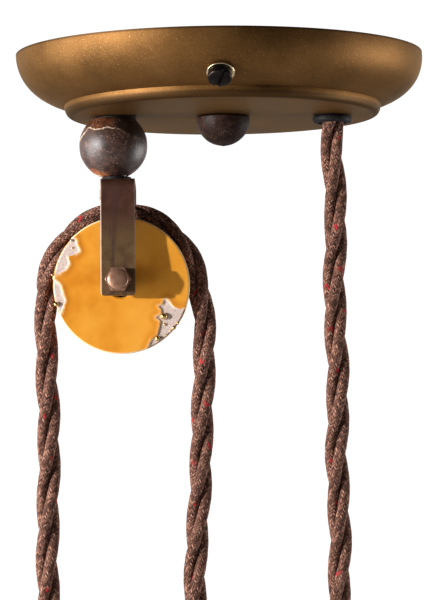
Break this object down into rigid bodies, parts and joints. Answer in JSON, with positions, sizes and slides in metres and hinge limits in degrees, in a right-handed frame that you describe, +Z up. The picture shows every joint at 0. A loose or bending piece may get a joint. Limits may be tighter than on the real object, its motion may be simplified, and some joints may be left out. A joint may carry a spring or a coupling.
{
  "type": "rise and fall ceiling rose",
  "caption": "Ceiling rose of a rise-and-fall pendant lamp: a glazed pulley and a counterweight pulley carry a twisted fabric flex.",
  "frame": {"origin": "middle of the face that meets the ceiling", "axes": "+Z up into the ceiling, +X along the row of holes from the pulley towards the flex outlet, -Y towards the room"},
  "size_m": [0.1211, 0.12, 0.2659],
  "materials": {
    "canopy_bronze": "aged bronze paint, satin",
    "strap_bronze": "aged dark bronze, satin, worn edges",
    "copper_bronze": "brown antique copper, satin",
    "black_steel": "blackened steel",
    "zinc_steel": "zinc plated",
    "polished_brass": "bright",
    "rust_glaze": "speckled rust-brown glaze, satin",
    "yellow_glaze": "warm yellow glaze with chipped patches",
    "black_rubber": "matt",
    "white_plastic": "moulded",
    "flex_fabric": "brown and beige braid with a red tracer",
    "wire_brown": "insulation",
    "wire_blue": "insulation",
    "wire_green": "insulation",
    "weight_iron": "cast iron with bronze paint"
  },
  "bodies": {
    "rose": {"canopy": "canopy_bronze", "ceiling_bracket": "zinc_steel", "side_screw_front": "black_steel", "side_screw_back": "black_steel", "side_washer_front": "polished_brass", "side_washer_back": "polished_brass", "earth_screw": "polished_brass", "dome_cap": "rust_glaze", "dome_stud": "zinc_steel", "dome_washer": "zinc_steel", "dome_nut": "zinc_steel", "cord_grommet": "black_rubber", "cord_clamp": "white_plastic", "clamp_screw": "zinc_steel", "terminal_block": "white_plastic", "terminal_screw_live": "polished_brass", "terminal_screw_neutral": "polished_brass", "terminal_screw_earth": "polished_brass", "wire_live": "wire_brown", "wire_neutral": "wire_blue", "wire_earth": "wire_green", "cord_tail": "flex_fabric", "hanger_washer": "zinc_steel", "hanger_nut": "zinc_steel", "hanger_rod": "zinc_steel", "hanger_ball": "rust_glaze", "ball_washer": "black_rubber", "ball_seat": "black_rubber", "jam_nut": "strap_bronze", "yoke": "strap_bronze", "axle_bolt": "copper_bronze", "axle_nut": "copper_bronze", "axle_spacer_back": "black_steel", "axle_spacer_front": "black_steel", "cord_over_wheel": "flex_fabric"},
    "pulley": {"pulley_wheel": "yellow_glaze"},
    "counter_pulley": {"counter_wheel": "yellow_glaze"},
    "lamp_end": {"cord_left_run": "flex_fabric", "lamp_grip": "canopy_bronze", "lamp_grip_screw": "black_steel", "lamp_nipple": "zinc_steel", "lamp_ring_nut": "copper_bronze"},
    "counterweight": {"cord_right_run": "flex_fabric", "cord_middle_run": "flex_fabric", "cord_under_wheel": "flex_fabric", "counter_yoke": "strap_bronze", "counter_axle_bolt": "copper_bronze", "counter_axle_nut": "copper_bronze", "counter_axle_spacer_back": "black_steel", "counter_axle_spacer_front": "black_steel", "counter_jam_nut": "strap_bronze", "counter_rod": "zinc_steel", "counter_washer": "zinc_steel", "counter_weight": "weight_iron", "counter_end_nut": "copper_bronze"}
  },
  "joints": [
    {"name": "lamp_travel", "type": "slide", "parent": "rose", "child": "lamp_end", "axis": [0, 0, 1], "range_m": [-0.06, 0.03], "deforming": ["cord_left_run"]},
    {"name": "counterweight_travel", "type": "slide", "parent": "rose", "child": "counterweight", "axis": [0, 0, 1], "range_m": [-0.0151, 0.0301], "deforming": ["cord_right_run", "cord_middle_run"]},
    {"name": "pulley_spin", "type": "hinge", "parent": "rose", "child": "pulley", "pos_m": [-0.0303, 0, -0.06825], "axis": [0, 0.9959, 0.0906], "range_deg": [-163, 82]},
    {"name": "counter_pulley_spin", "type": "hinge", "parent": "counterweight", "child": "counter_pulley", "pos_m": [0.0112, 0, -0.1875], "axis": [0, 1, 0], "range_deg": [-41, 82]}
  ],
  "couplings": [
    {"joint": "counterweight_travel", "follows": "lamp_travel", "ratio": -0.5},
    {"joint": "pulley_spin", "follows": "lamp_travel", "rad_per_m": 47.17},
    {"joint": "counter_pulley_spin", "follows": "lamp_travel", "rad_per_m": -23.585}
  ]
}
